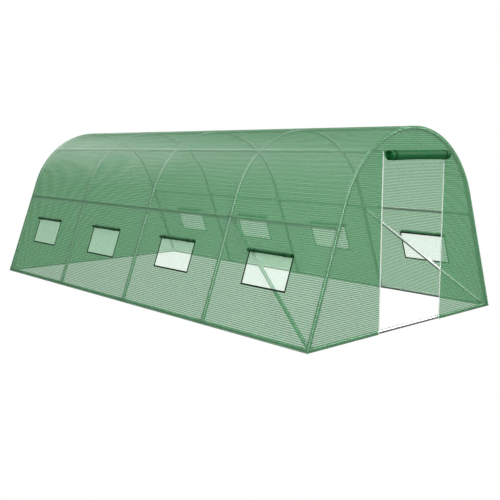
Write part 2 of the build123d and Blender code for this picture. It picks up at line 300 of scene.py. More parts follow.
def opaque_film(name, colour, rib=0.020, rough=0.5):
    """Many layers of the same film, rolled up: no light passes."""
    m = Mat(name)
    vec, a, s = m.attr()
    obj = m.coords()
    rib_w = m.wave(s, rib)
    grid_w = m.math("POWER", m.wave(a, 0.012), 3.0)
    thread = m.math("MAXIMUM", m.math("POWER", rib_w, 1.4), m.math("MULTIPLY", grid_w, 0.5))
    cloud = m.noise(obj, 9.0, 3.0, 0.55)
    streak = m.noise(obj, 1.0, 2.0, 0.5, stretch=(7, 90, 90))
    base = m.mixc(thread, tuple(c * 1.12 for c in colour), tuple(c * 0.85 for c in colour))
    base = m.mixc(m.remap(cloud, 0.3, 0.7, 0.0, 0.35), base, tuple(c * 1.25 for c in colour))
    base = m.mixc(m.remap(streak, 0.35, 0.7, 0.0, 0.3), base, tuple(c * 0.7 for c in colour))
    normal = m.bump(thread, 0.3, 0.0006)
    p = m.principled(Base_Color=base, Roughness=m.remap(cloud, 0.3, 0.7, rough - 0.06, rough + 0.06), Normal=normal)
    p.inputs["Specular IOR Level"].default_value = 0.10
    return m.surface(p.outputs[0])


def webbing_material(name, colour, pitch=0.0016, sheen=0.15):
    """Woven tape: ribs across, fine threads along, a little fluff."""
    m = Mat(name)
    vec, a, s = m.attr()
    ribs = m.wave(a, pitch * 2)
    cross = m.wave(s, pitch)
    weave = m.math("MULTIPLY", ribs, m.math("MULTIPLY_ADD", cross, 0.6, 0.4))
    cloud = m.noise(m.coords(), 20.0, 2.0, 0.5)
    base = m.mixc(weave, tuple(c * 0.7 for c in colour), tuple(min(1, c * 1.25) for c in colour))
    base = m.mixc(m.remap(cloud, 0.3, 0.7, 0, 0.25), base, tuple(c * 0.75 for c in colour))
    p = m.principled(Base_Color=base, Roughness=m.remap(cloud, 0.3, 0.7, 0.7, 0.85), Normal=m.bump(weave, 0.5, 0.0004))
    p.inputs["Sheen Weight"].default_value = sheen
    p.inputs["Specular IOR Level"].default_value = 0.25 if sheen else 0.12
    return m.surface(p.outputs[0])


def steel_material(name, colour, rough, scale=1.0):
    """Zinc-coated steel: faint spangle, fine speckle in the roughness and bump, a little dulling."""
    m = Mat(name)
    obj = m.coords()
    vor = m.t.nodes.new("ShaderNodeTexVoronoi")
    vor.inputs["Scale"].default_value = 60 * scale
    m.link(obj, vor.inputs["Vector"])
    spangle = m.math("MULTIPLY", vor.outputs["Color"], 1.0)
    cloud = m.noise(obj, 7.0, 4.0, 0.6)
    fine = m.noise(obj, 240.0, 2.0, 0.6)
    base = m.mixc(m.remap(spangle, 0.2, 0.8, 0.0, 0.30), colour, tuple(c * 0.94 for c in colour))
    base = m.mixc(m.remap(cloud, 0.4, 0.75, 0.0, 0.30), base, tuple(c * 0.86 for c in colour))
    r = m.math("ADD", m.remap(cloud, 0.3, 0.7, rough - 0.03, rough + 0.04), m.math("MULTIPLY", fine, 0.02))
    p = m.principled(Base_Color=base, Metallic=1.0, Roughness=r, Normal=m.bump(fine, 0.02, 0.0002))
    return m.surface(p.outputs[0])


def net_material(name, colour, alpha):
    m = Mat(name)
    vec, a, s = m.attr()
    wa = m.math("POWER", m.wave(a, 0.0030), 2.0)
    ws = m.math("POWER", m.wave(s, 0.0030), 2.0)
    th = m.math("MAXIMUM", wa, ws)
    cloud = m.noise(m.coords(), 12.0, 2.0, 0.5)
    base = m.mixc(m.remap(cloud, 0.3, 0.7, 0, 0.3), colour, tuple(c * 0.92 for c in colour))
    p = m.principled(Base_Color=base, Roughness=0.7, Normal=m.bump(th, 0.3, 0.0003))
    p.inputs["Specular IOR Level"].default_value = 0.2
    tr = m.t.nodes.new("ShaderNodeBsdfTranslucent")
    m.link(base, tr.inputs["Color"])
    body = m.t.nodes.new("ShaderNodeMixShader")
    body.inputs[0].default_value = 0.4
    m.link(p.outputs[0], body.inputs[1])
    m.link(tr.outputs[0], body.inputs[2])
    clear = m.t.nodes.new("ShaderNodeBsdfTransparent")
    mix = m.t.nodes.new("ShaderNodeMixShader")
    m.link(m.math("MULTIPLY_ADD", th, 0.34, alpha - 0.16, clamp=True), mix.inputs[0])
    m.link(clear.outputs[0], mix.inputs[1])
    m.link(body.outputs[0], mix.inputs[2])
    return m.surface(mix.outputs[0])


def plastic_material(name, colour, rough=0.42):
    m = Mat(name)
    obj = m.coords()
    cloud = m.noise(obj, 30.0, 3.0, 0.5)
    fine = m.noise(obj, 900.0, 1.0, 0.5)
    base = m.mixc(m.remap(cloud, 0.3, 0.7, 0, 0.3), colour, tuple(c * 0.9 for c in colour))
    p = m.principled(Base_Color=base, Roughness=m.remap(cloud, 0.3, 0.7, rough - 0.05, rough + 0.08), Normal=m.bump(fine, 0.1, 0.0002))
    return m.surface(p.outputs[0])


PASS = (0.962, 1.0, 0.972)
FILM_FACE = (0.133, 0.257, 0.166)
FILM_GLOW = (0.008, 0.300, 0.054)
M_FILM = film_material("film_green", FILM_FACE, FILM_GLOW, 0.55, 0.99, PASS)
M_HEM = hem_material("film_hem", FILM_FACE, FILM_GLOW, 0.06, PASS)
M_SEAM = hem_material("film_seam", FILM_FACE, FILM_GLOW, 0.10, PASS)
# The window rolls and their ties are the same film and webbing as the door's, set darker: painted shade.
M_ROLL = opaque_film("film_rolled", (0.008, 0.100, 0.028))
M_WROLL = opaque_film("film_rolled_window_painted_shade", (0.008, 0.062, 0.018))
M_BORDER = webbing_material("binding_dark", (0.004, 0.013, 0.006), sheen=0.0)
M_STRAP = webbing_material("tie_window_painted_shade", (0.006, 0.038, 0.013), sheen=0.0)
M_DSTRAP = webbing_material("tie_door", (0.008, 0.060, 0.019), sheen=0.0)
M_TAPE = webbing_material("zip_tape", (0.74, 0.84, 0.77), 0.0011)
M_ZIP = plastic_material("zip_white", (0.86, 0.88, 0.86))
M_TUBE = steel_material("steel_tube", (0.80, 0.81, 0.81), 0.30)
M_FIT = steel_material("steel_fitting", (0.66, 0.68, 0.68), 0.34, 1.5)
M_BOLT = steel_material("steel_bolt", (0.60, 0.61, 0.62), 0.28, 4.0)
M_NET = net_material("net_pale", (0.50, 0.78, 0.56), 0.38)
M_THREAD = webbing_material("sewing_thread", (0.045, 0.20, 0.085), 0.0009)


# ------------------------------------------------------------------ mesh helpers
def make(name, verts, faces, mat, cloth=None, smooth=True, ride=True):
    me = bpy.data.meshes.new(name)
    verts = np.asarray(verts, dtype=float)
    me.from_pydata(verts.tolist(), [], faces if isinstance(faces, list) else faces.tolist())
    if cloth is not None:
        at = me.attributes.new("cloth", "FLOAT_VECTOR", "POINT")
        c = np.zeros((len(verts), 3), dtype=np.float32)
        c[:, : cloth.shape[1]] = cloth
        at.data.foreach_set("vector", c.ravel())
    me.polygons.foreach_set("use_smooth", [smooth] * len(me.polygons))
    me.update()
    ob = bpy.data.objects.new(name, me)
    bpy.context.scene.collection.objects.link(ob)
    me.materials.append(mat)
    if ride:
        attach(ob, "root")
    return ob


def grid_faces(n, m, keep=None, flip=False):
    """Quads of an n by m grid of points. keep is an (n-1, m-1) mask."""
    i, j = np.meshgrid(np.arange(n - 1), np.arange(m - 1), indexing="ij")
    q = np.stack([i * m + j, (i + 1) * m + j, (i + 1) * m + j + 1, i * m + j + 1], -1)
    if flip:
        q = q[..., ::-1]
    q = q.reshape(-1, 4) if keep is None else q[keep]
    return q


def drop_loose(verts, faces, cloth):
    used = np.unique(faces)
    new = -np.ones(len(verts), dtype=int)
    new[used] = np.arange(len(used))
    return verts[used], new[faces], cloth[used]


def spaced(stops, step):
    """Points through every stop, about a step apart."""
    out = [stops[0]]
    for a, b in zip(stops, stops[1:]):
        n = max(1, round((b - a) / step))
        out += list(np.linspace(a, b, n + 1)[1:])
    return np.array(out)


class Batch:
    """Many small bodies gathered into one mesh."""

    def __init__(self):
        self.v, self.f, self.c, self.n = [], [], [], 0

    def add(self, verts, faces, cloth=None):
        verts = np.asarray(verts, float)
        self.v.append(verts)
        self.f += [[int(i) + self.n for i in f] for f in faces]
        self.c.append(np.zeros((len(verts), 2)) if cloth is None else np.asarray(cloth, float))
        self.n += len(verts)

    def make(self, name, mat, smooth=True):
        return make(name, np.vstack(self.v), self.f, mat, np.vstack(self.c), smooth)


# ------------------------------------------------------------------ the tunnel's surface
def section(s, off):
    """Points of the cross-section at slope length s, off outwards from the outer face. s runs from the left foot over to the right."""
    s = np.asarray(s, float)
    x, z, nx, nz = (np.zeros_like(s) for _ in range(4))
    a = s < WALL
    b = s > WALL + ARCH
    c = ~(a | b)
    x[a], z[a], nx[a], nz[a] = -HALF_W + s[a] * SA, s[a] * CA, -CA, SA
    r = TOTAL - s
    x[b], z[b], nx[b], nz[b] = HALF_W - r[b] * SA, r[b] * CA, CA, SA
    t = -TAN + (s[c] - WALL) / R_OUT
    x[c], z[c], nx[c], nz[c] = R_OUT * np.sin(t), ZC + R_OUT * np.cos(t), np.sin(t), np.cos(t)
    return x + nx * off, z + nz * off, nx, nz


S_LINES = [0.0, EAVE_S, WALL + (TAN - SHOULDER) * R_OUT, TOTAL / 2]
S_LINES = S_LINES + [TOTAL - s for s in S_LINES[-2::-1]]


def bay_part(y):
    """0 at a hoop, 1 midway between two."""
    u = (np.asarray(y, float) - HOOPS[0]) / BAY
    return np.sin(np.pi * np.clip(u, 0, 4)) ** 2


def line_part(s):
    s = np.asarray(s, float)
    out = np.zeros_like(s)
    for a, b in zip(S_LINES, S_LINES[1:]):
        k = (s >= a) & (s <= b)
        out[k] = np.sin(np.pi * (s[k] - a) / (b - a)) ** 2
    return out


def waves(s, y):
    """Slow, shallow swells of a tensioned film."""
    return (
        0.55 * np.sin(3.1 * y + 1.3) * np.sin(4.2 * s + 0.4)
        + 0.30 * np.sin(7.3 * y + 2.1 * s + 0.7)
        + 0.15 * np.sin(12.9 * y - 5.7 * s + 2.2)
    )


def sag(s, y):
    """How far the film is pulled in between the tubes."""
    wall = (s < EAVE_S) | (s > TOTAL - EAVE_S)
    depth = np.where(wall, 0.0065, 0.0085)
    keep = bay_part(y) * line_part(s)
    return keep * (depth + 0.0012 * waves(s, y))


def film_point(s, y, off=0.0):
    """Where the film is at slope length s and along the tunnel y, off outwards."""
    s, y = np.broadcast_arrays(np.asarray(s, float), np.asarray(y, float))
    x, z, nx, nz = section(s.ravel(), 0.0)
    d = (FILM_OFF - sag(s.ravel(), y.ravel())) + np.broadcast_to(off, s.shape).ravel()
    p = np.stack([x + nx * d, y.ravel(), z + nz * d], -1)
    return p.reshape(*s.shape, 3)


# ------------------------------------------------------------------ cover
def build_cover():
    eps = 0.0005
    s_stops = sorted(set([0.0012, 0.046, WIN_S0, WIN_S1, EAVE_S, WALL] + [S_LINES[2], TOTAL / 2, S_LINES[4]]
                         + [TOTAL - v for v in (0.0012, 0.046, WIN_S0, WIN_S1, EAVE_S, WALL)]))
    y_stops = sorted([SY - END + eps, SY + END - eps] + HOOPS + [y + d for ys in WIN_Y for y in ys for d in (-WIN_HALF, WIN_HALF)])
    S = spaced(s_stops, 0.026)
    Y = spaced(y_stops, 0.033)
    ss, yy = np.meshgrid(S, Y, indexing="ij")
    P = film_point(ss, yy)
    sc, yc_ = (S[:-1] + S[1:]) / 2, (Y[:-1] + Y[1:]) / 2
    keep = np.ones((len(S) - 1, len(Y) - 1), bool)
    for ws, ins in zip(WIN_Y, ((sc > WIN_S0) & (sc < WIN_S1), (TOTAL - sc > WIN_S0) & (TOTAL - sc < WIN_S1))):
        for w in ws:
            keep[np.ix_(ins, (yc_ > w - WIN_HALF) & (yc_ < w + WIN_HALF))] = False
    f = grid_faces(len(S), len(Y), keep)
    v, f, c = drop_loose(P.reshape(-1, 3), f, np.stack([yy.ravel(), ss.ravel()], -1))
    o = make("cover_sheet", v, f, M_FILM, c)
    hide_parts("cover_side_right", "cover_side_left", "cover_roof_right_lower", "cover_roof_right_upper", "cover_roof_left_upper", "cover_roof_left_lower")
    return o


def half_width(z, off=FILM_OFF):
    """Half width of the gable at height z."""
    z = np.asarray(z, float)
    r = R_OUT + off
    zt = ZC + r * SA
    leg = (r + ZC * SA - z * SA) / CA
    arc = np.sqrt(np.clip(r * r - (z - ZC) ** 2, 0, None))
    return np.where(z < zt, leg, arc)


def gable_bulge(x, z):
    w = np.maximum(half_width(z), 0.05)
    e = np.clip(1 - np.abs(x) / w, 0, 1)
    edge = np.clip(e / 0.25, 0, 1) * np.clip((HEIGHT - z) / 0.3, 0, 1) * np.clip(z / 0.3, 0, 1)
    return edge * (0.0016 * np.sin(3.3 * x + 1.0) * np.sin(2.9 * z + 0.5) + 0.0008 * np.sin(8.1 * x - 4.0 * z))


def build_gables():
    top = HEIGHT + FILM_OFF
    out = []
    # front, open at the doorway
    z = np.concatenate([spaced([0.0012, 0.046, DOOR_TOP], 0.026), top - (top - DOOR_TOP) * (1 - np.linspace(0, 1, 18)[1:]) ** 1.6])
    z[-1] = top - 0.0001
    nl, nm = 36, 34
    w = half_width(z)
    w[-1] = 0.002
    wt = half_width(DOOR_TOP)
    rows = []
    for zi, wi in zip(z, w):
        d = DOOR_HALF if zi <= DOOR_TOP + 1e-9 else DOOR_HALF / wt * wi
        rows.append(np.concatenate([np.linspace(-wi, -d, nl), np.linspace(-d, d, nm)[1:-1], np.linspace(d, wi, nl)]))
    X = np.array(rows)
    Z = np.repeat(z[:, None], X.shape[1], 1)
    yfront = SY - END + 0.0015
    P = np.stack([X, yfront + gable_bulge(X, Z), Z], -1)
    keep = np.ones((len(z) - 1, X.shape[1] - 1), bool)
    keep[np.ix_((z[:-1] + z[1:]) / 2 < DOOR_TOP, np.arange(nl - 1, nl - 1 + nm - 1))] = False
    f = grid_faces(len(z), X.shape[1], keep)
    v, f, c = drop_loose(P.reshape(-1, 3), f, np.stack([X.ravel(), Z.ravel()], -1))
    o = make("gable_front_sheet", v, f, M_FILM, c)
    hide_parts("gable_front_left", "gable_front_right", "gable_front_top")
    out.append(o)
    # rear, closed
    z = np.concatenate([spaced([0.0012, 0.046, DOOR_TOP], 0.03), top - (top - DOOR_TOP) * (1 - np.linspace(0, 1, 18)[1:]) ** 1.6])
    z[-1] = top - 0.0001
    w = half_width(z)
    w[-1] = 0.002
    u = np.linspace(-1, 1, 101)
    X = w[:, None] * u[None, :]
    Z = np.repeat(z[:, None], len(u), 1)
    P = np.stack([X, SY + END - 0.0015 + gable_bulge(X, Z), Z], -1)
    f = grid_faces(len(z), len(u), flip=True)
    v, f, c = drop_loose(P.reshape(-1, 3), f, np.stack([X.ravel(), Z.ravel()], -1))
    o = make("gable_rear_sheet", v, f, M_FILM, c)
    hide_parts("gable_rear")
    out.append(o)
    return out


def strip(name, path, nrm, width_dir, half, mat, bulge=0.0, across=4, cloth_scale=1.0):
    """A flat band along a path: path (n,3), outward normal (n,3), direction across (n,3)."""
    path, nrm, width_dir = (np.asarray(a, float) for a in (path, nrm, width_dir))
    u = np.linspace(-1, 1, across + 1)
    P = path[:, None, :] + width_dir[:, None, :] * (u[None, :, None] * half) + nrm[:, None, :] * (bulge * (1 - u ** 2))[None, :, None]
    step = np.linalg.norm(np.diff(path, axis=0), axis=1)
    run = np.concatenate([[0], np.cumsum(step)])
    A = np.repeat(run[:, None], across + 1, 1)
    B = np.repeat((u * half)[None, :], len(path), 0)
    f = grid_faces(len(path), across + 1)
    return P.reshape(-1, 3), f, np.stack([A.ravel(), B.ravel()], -1)


def build_hem():
    """Doubled band round the foot of the film, with two rows of stitches."""
    H = 0.046
    y0, y1 = SY - END - 0.0003, SY + END + 0.0003
    off = 0.0006
    Y = spaced([y0] + HOOPS + [y1], 0.05)
    prof = [(0.0, -0.0012), (0.0008, 0.0), (0.0030, off), (H * 0.5, off), (H - 0.002, off), (H, off * 0.3)]
    stitches = Batch()
    for side in (0, 1):
        S = np.array([p[0] for p in prof])
        O = np.array([p[1] for p in prof])
        ss = S if side == 0 else TOTAL - S
        P = np.array([film_point(ss, np.full(len(ss), y), O) for y in Y])
        P[..., 2] = np.maximum(P[..., 2], 0.0006)
        C = np.stack([np.repeat(Y[:, None], len(S), 1).ravel(), np.repeat(S[None, :], len(Y), 0).ravel()], -1)
        f = grid_faces(len(Y), len(S), flip=side == 0)
        o = make("hem_left" if side == 0 else "hem_right", P.reshape(-1, 3), f, M_HEM, C)
        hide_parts("ground_hem")
        yy = np.arange(y0 + 0.01, y1 - 0.01, 0.0105)
        for s in (H - 0.006, H - 0.012):
            c = film_point(np.full(len(yy), s if side == 0 else TOTAL - s), yy, off + 0.0003)
            for p in c:
                add_stitch(stitches, p, (0, 1, 0), (0, -SA if side == 0 else -SA, CA), 0.0062)
    # the ends, in the gable's plane
    for tag, yy0, sgn, spans in (
        ("front_left", SY - END, -1, (-1, None)), ("front_right", SY - END, -1, (None, 1)), ("rear", SY + END, 1, (-1, 1)),
    ):
        za = np.array([0.0006, 0.003, H * 0.5, H - 0.002, H])
        rows = []
        for z in za:
            w = float(half_width(z))
            a = -w if spans[0] else ZIP_OUT + 0.004
            b = w if spans[1] else -ZIP_OUT - 0.004
            rows.append(np.linspace(a, b, 60 if None not in spans else 26))
        X = np.array(rows)
        Z = np.repeat(za[:, None], X.shape[1], 1)
        Yv = yy0 + sgn * np.where((Z > 0.001) & (Z < H - 0.0005), 0.0010, -0.0006)
        P = np.stack([X, Yv, Z], -1)
        f = grid_faces(len(za), X.shape[1], flip=sgn > 0)
        o = make("hem_" + tag, P.reshape(-1, 3), f, M_HEM, np.stack([X.ravel(), Z.ravel()], -1))
        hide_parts("ground_hem")
        for z in (H - 0.006, H - 0.012):
            w = float(half_width(z))
            a = -w + 0.01 if spans[0] else ZIP_OUT + 0.012
            b = w - 0.01 if spans[1] else -ZIP_OUT - 0.012
            for x in np.arange(a, b, 0.0105):
                add_stitch(stitches, (x, yy0 + sgn * 0.0013, z), (1, 0, 0), (0, 0, 1), 0.0062)
    o = stitches.make("hem_stitches", M_THREAD)


def add_stitch(batch, p, along, across, length, width=0.0009, high=0.0007):
    """One sewn stitch: a short rounded thread that dips at both ends."""
    p, a, b = Vector(p), Vector(along).normalized(), Vector(across).normalized()
    n = a.cross(b)
    if n.dot(Vector((p.x, (p.y - SY) * 0.3, 0.2))) < 0:
        n = -n
    v = []
    for t, r in ((-0.5, 0.25), (0.0, 1.0), (0.5, 0.25)):
        c = p + a * (t * length) - n * (0.0005 if t else 0.0)
        v += [c + b * (width / 2 * r), c + n * (high * r), c - b * (width / 2 * r)]
    f = [(0, 1, 4, 3), (1, 2, 5, 4), (3, 4, 7, 6), (4, 5, 8, 7)]
    batch.add([tuple(q) for q in v], f, [(0, 0)] * 9)


# ------------------------------------------------------------------ seam tape along the arch edges
def build_seams():
    """Folded tape sewn over the edge where the roof film meets a gable, and down both corners."""
    S = spaced([0.0012, WALL, TOTAL / 2, TOTAL - WALL, TOTAL - 0.0012], 0.02)
    for tag, y0, sgn in (("front", SY - END, -1), ("rear", SY + END, 1)):
        W = 0.018
        prof = [(W, 0.0007, "s"), (W * 0.5, 0.0012, "s"), (0.002, 0.0014, "s"), (0.0, 0.0008, "c"), (0.0, 0.0, "c"), (-0.002, 0.0, "g"), (-W * 0.5, 0.0, "g"), (-W, 0.0, "g")]
        rows = []
        for d, off, kind in prof:
            if kind == "s":
                rows.append(film_point(S, np.full(len(S), y0 - sgn * d), off))
            elif kind == "c":
                p = film_point(S, np.full(len(S), y0 + sgn * 0.0009), off)
                rows.append(p)
            else:
                x, z, nx, nz = section(S, FILM_OFF + d)
                rows.append(np.stack([x, np.full(len(S), y0 + sgn * 0.0012), z], -1))
        P = np.array(rows)
        P[..., 2] = np.maximum(P[..., 2], 0.0006)
        A = np.repeat(S[None, :], len(prof), 0)
        B = np.repeat(np.linspace(-W, W, len(prof))[:, None], len(S), 1)
        f = grid_faces(len(prof), len(S), flip=sgn < 0)
        o = make("edge_tape_" + tag, P.reshape(-1, 3), f, M_SEAM, np.stack([A.ravel(), B.ravel()], -1))


# ------------------------------------------------------------------ windows
def build_windows():
    for side in (0, 1):
        word = "left" if side == 0 else "right"
        S_ = (lambda s: s) if side == 0 else (lambda s: TOTAL - s)
        borders = Batch()
        st = Batch()
        ties = Batch()
        ends = Batch()
        for k, yc in enumerate(WIN_Y[side]):
            n = k + 1
            # net, behind the film
            a = np.linspace(-WIN_HALF - 0.010, WIN_HALF + 0.010, 32)
            b = np.linspace(WIN_S0 - 0.010, WIN_S1 + 0.010, 20)
            ss, yy = np.meshgrid(b, a + yc, indexing="ij")
            P = film_point(S_(ss), yy, -0.0009)
            u = (yy - yc) / WIN_HALF
            v = (ss - WIN_S0) / (WIN_S1 - WIN_S0)
            droop = np.clip(1 - u ** 2, 0, 1) * np.clip(4 * v * (1 - v), 0, 1) * 0.003
            P[..., 0] += droop * (1 if side == 0 else -1)
            f = grid_faces(len(b), len(a), flip=side == 1)
            o = make(f"window_net_{word}_{n}", P.reshape(-1, 3), f, M_NET, np.stack([yy.ravel(), ss.ravel()], -1))
            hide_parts("window_nets_" + word)
            # binding round the window: a folded, sewn band with mitred corners
            inner = (yc - WIN_HALF, yc + WIN_HALF, WIN_S0, WIN_S1)
            prof = [(BORDER, -0.0012), (BORDER - 0.002, -0.0022), (BORDER * 0.5, -0.0026), (0.001, -0.0024), (-0.0038, -0.0020),
                    (-0.0042, -0.0006), (-0.0036, 0.0009), (0.001, 0.0013), (BORDER * 0.5, 0.0016), (BORDER - 0.002, 0.0013), (BORDER, 0.0001)]
            ring = []
            corners = [(-1, -1), (1, -1), (1, 1), (-1, 1)]
            per = []
            for ci in range(4):
                (ax, ay), (bx, by) = corners[ci], corners[(ci + 1) % 4]
                cnt = 20 if ax != bx else 12
                for t in np.linspace(0, 1, cnt, endpoint=False):
                    per.append((ax + (bx - ax) * t, ay + (by - ay) * t))
            per = np.array(per)
            m_y, m_s = (inner[0] + inner[1]) / 2, (inner[2] + inner[3]) / 2
            h_y, h_s = (inner[1] - inner[0]) / 2, (inner[3] - inner[2]) / 2
            run = 0.0
            rows, cl = [], []
            last = None
            for px, py in per:
                col, cc = [], []
                for d, off in prof:
                    yv = m_y + px * h_y + (d * np.sign(px) if abs(px) > 0.999 else 0)
                    sv = m_s + py * h_s + (d * np.sign(py) if abs(py) > 0.999 else 0)
                    col.append(film_point(S_(np.array([sv])), np.array([yv]), off)[0])
                    cc.append((0, d))
                here = np.array(col[0])
                if last is not None:
                    run += np.linalg.norm(here - last)
                last = here
                rows.append(col)
                cl += [(run, c[1]) for c in cc]
            P = np.array(rows)
            q = len(prof)
            faces = []
            N = len(per)
            for i in range(N):
                j = (i + 1) % N
                for m_ in range(q - 1):
                    quad = (i * q + m_, j * q + m_, j * q + m_ + 1, i * q + m_ + 1)
                    faces.append(quad if side == 0 else quad[::-1])
            borders.add(P.reshape(-1, 3), faces, cl)
            # stitches along the binding
            for edge in range(4):
                if edge in (0, 2):
                    sv = WIN_S0 - BORDER * 0.72 if edge == 0 else WIN_S1 + BORDER * 0.72
                    for y in np.arange(inner[0], inner[1], 0.009):
                        p = film_point(S_(np.array([sv])), np.array([y]), 0.0018)[0]
                        add_stitch(st, p, (0, 1, 0), (0, 0, 1), 0.0055)
                else:
                    yv = inner[1] + BORDER * 0.72 if edge == 1 else inner[0] - BORDER * 0.72
                    for s in np.arange(WIN_S0, WIN_S1, 0.009):
                        p = film_point(S_(np.array([s])), np.array([yv]), 0.0018)[0]
                        add_stitch(st, p, (SA if side == 0 else -SA, 0, CA), (0, 1, 0), 0.0055)
            # rolled flap: the strip comes off the film above the window and winds up
            build_window_roll(side, word, n, yc, S_)
            c = roll_centre(side, yc, S_)
            for sgn in (-1, 1):
                wound_end(ends, c + np.array([0, sgn * (WR_HALF - 0.0040), 0]), (0, sgn, 0), wall_frame(side)[1], WR_R - 0.0018, 0.0026, 0.0007, 40)
            # ties: a flat loop round the roll
            for dy in (-0.21, 0.21):
                add_tie(ties, side, yc + dy, S_)
        o = borders.make("window_borders_sewn_" + word, M_BORDER)
        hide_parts("window_borders_" + word)
        o = st.make("window_stitches_" + word, M_THREAD)
        o = ends.make("window_roll_ends_" + word, M_WROLL)
        o = ties.make("window_ties_" + word, M_STRAP)
        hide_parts("window_straps")


def roll_centre(side, y, S_, out=None):
    o = 0.0022 + WR_R if out is None else out
    return film_point(S_(np.array([WR_S])), np.array([y]), o)[0]


def wall_frame(side):
    """Outward and up-slope directions of a wall."""
    sx = -1 if side == 0 else 1
    return np.array([sx * CA, 0, SA]), np.array([-sx * SA, 0, CA])


def build_window_roll(side, word, n, yc, S_):
    out, up = wall_frame(side)
    pitch, r0 = 0.0026, 0.0012
    r1 = WR_R - 0.0006
    turns = (r1 - r0) / pitch
    T = np.linspace(0, turns * 2 * np.pi, int(turns * 30) + 1)
    A = np.linspace(-WR_HALF, WR_HALF, 37)
    ph = rng.uniform(0, 6.28, 6)
    # the flap comes off the film behind the roll, then winds up over the top
    rows = [film_point(S_(np.full(len(A), WR_S + u_)), yc + A, o_) for u_, o_ in ((0.0185, 0.0010), (0.0140, 0.0014), (0.0105, 0.0026))]
    c = film_point(S_(np.array([WR_S])), np.array([yc]), 0.0022 + WR_R)[0]
    for t in T:
        # angle 0 points at the wall, 90 degrees up the slope
        ang = math.radians(24) + t
        r = r1 - pitch * t / (2 * math.pi)
        wob = 0.0004 * np.sin(9 * A + ph[0]) + 0.0003 * np.sin(23 * A + ph[1] + 0.7 * t) + 0.0003 * np.sin(3 * t + ph[2] + 5 * A)
        rr = np.maximum(r + wob * min(1, t) * min(1, r / 0.006), 0.0006)
        tel = 0.0012 * math.sin(t / 6.283 * 1.7 + ph[3]) * min(1, t)
        p = c - out * (math.cos(ang) * rr)[:, None] + up * (math.sin(ang) * rr)[:, None]
        p[:, 1] = yc + A * (1 + (tel - 0.0012) / WR_HALF)
        rows.append(p)
    P = np.array(rows)
    d = np.linalg.norm(np.diff(P[:, 0, :], axis=0), axis=1)
    run = np.concatenate([[0], np.cumsum(d)])
    AA = np.repeat(A[None, :], len(rows), 0)
    RR = np.repeat(run[:, None], len(A), 1)
    f = grid_faces(len(rows), len(A), flip=side == 0)
    o = make(f"window_roll_{word}_{n}", P.reshape(-1, 3), f, M_WROLL, np.stack([AA.ravel(), RR.ravel()], -1))
    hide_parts("window_rolls_" + word)


def wound_end(batch, c, axis, up, r, pitch, relief, k=72, hand=1):
    """The wound edge of a roll, seen end on: a spiral ridge, set in from the sheet's own edge."""
    c, axis, up = (np.asarray(a, float) for a in (c, axis, up))
    side = np.cross(axis, up)
    R = np.arange(0.0012, r, pitch / 4)
    v = [c]
    cl = [(0.0, 0.0)]
    for q in R:
        t = 2 * np.pi * np.arange(k) / k
        h = relief * np.sin(2 * np.pi * (q / pitch + hand * t / (2 * np.pi)))
        p = c + q * (np.cos(t)[:, None] * up + np.sin(t)[:, None] * side) + axis * h[:, None]
        v += list(p)
        cl += [(q * a, q) for a in t]
    f = [(0, 1 + j, 1 + (j + 1) % k) for j in range(k)]
    for i in range(len(R) - 1):
        a, b = 1 + i * k, 1 + (i + 1) * k
        f += [(a + j, b + j, b + (j + 1) % k, a + (j + 1) % k) for j in range(k)]
    batch.add(v, f, cl)


def tie_band(batch, pts, w, half, thick=0.0008):
    """A closed flat band: outer face, inner face and both edges, along a path."""
    pts = np.asarray(pts, float)
    d = np.gradient(pts, axis=0)
    d /= np.linalg.norm(d, axis=1)[:, None]
    w = np.repeat(np.array([w], float), len(pts), 0)
    nrm = np.cross(w, d)
    prof = [(-half, 0.0), (-half * 0.9, thick), (0, thick * 1.15), (half * 0.9, thick), (half, 0.0), (half * 0.9, -0.0001), (-half * 0.9, -0.0001)]
    run = np.concatenate([[0], np.cumsum(np.linalg.norm(np.diff(pts, axis=0), axis=1))])
    v = np.array([[p + ww * a + nn * o for a, o in prof] for p, ww, nn in zip(pts, w, nrm)])
    c = np.array([[(r, a) for a, o in prof] for r in run])
    k = len(prof)
    f = [(i * k + j, i * k + (j + 1) % k, (i + 1) * k + (j + 1) % k, (i + 1) * k + j) for i in range(len(pts) - 1) for j in range(k)]
    f += [tuple(range(k))[::-1], tuple((len(pts) - 1) * k + j for j in range(k))]
    batch.add(v.reshape(-1, 3), f, c.reshape(-1, 2))


def add_tie(batch, side, y, S_):
    """A flat tie close round the roll, from the film above it to the film under it."""
    out, up = wall_frame(side)
    c = film_point(S_(np.array([WR_S])), np.array([y]), 0.0022 + WR_R)[0]
    r = WR_R + 0.0002
    pts = [c - out * (math.cos(t) * r) + up * (math.sin(t) * r) for t in np.radians(np.linspace(18, 342, 44))]
    tie_band(batch, pts, (0, 1, 0) if side == 0 else (0, -1, 0), 0.008)


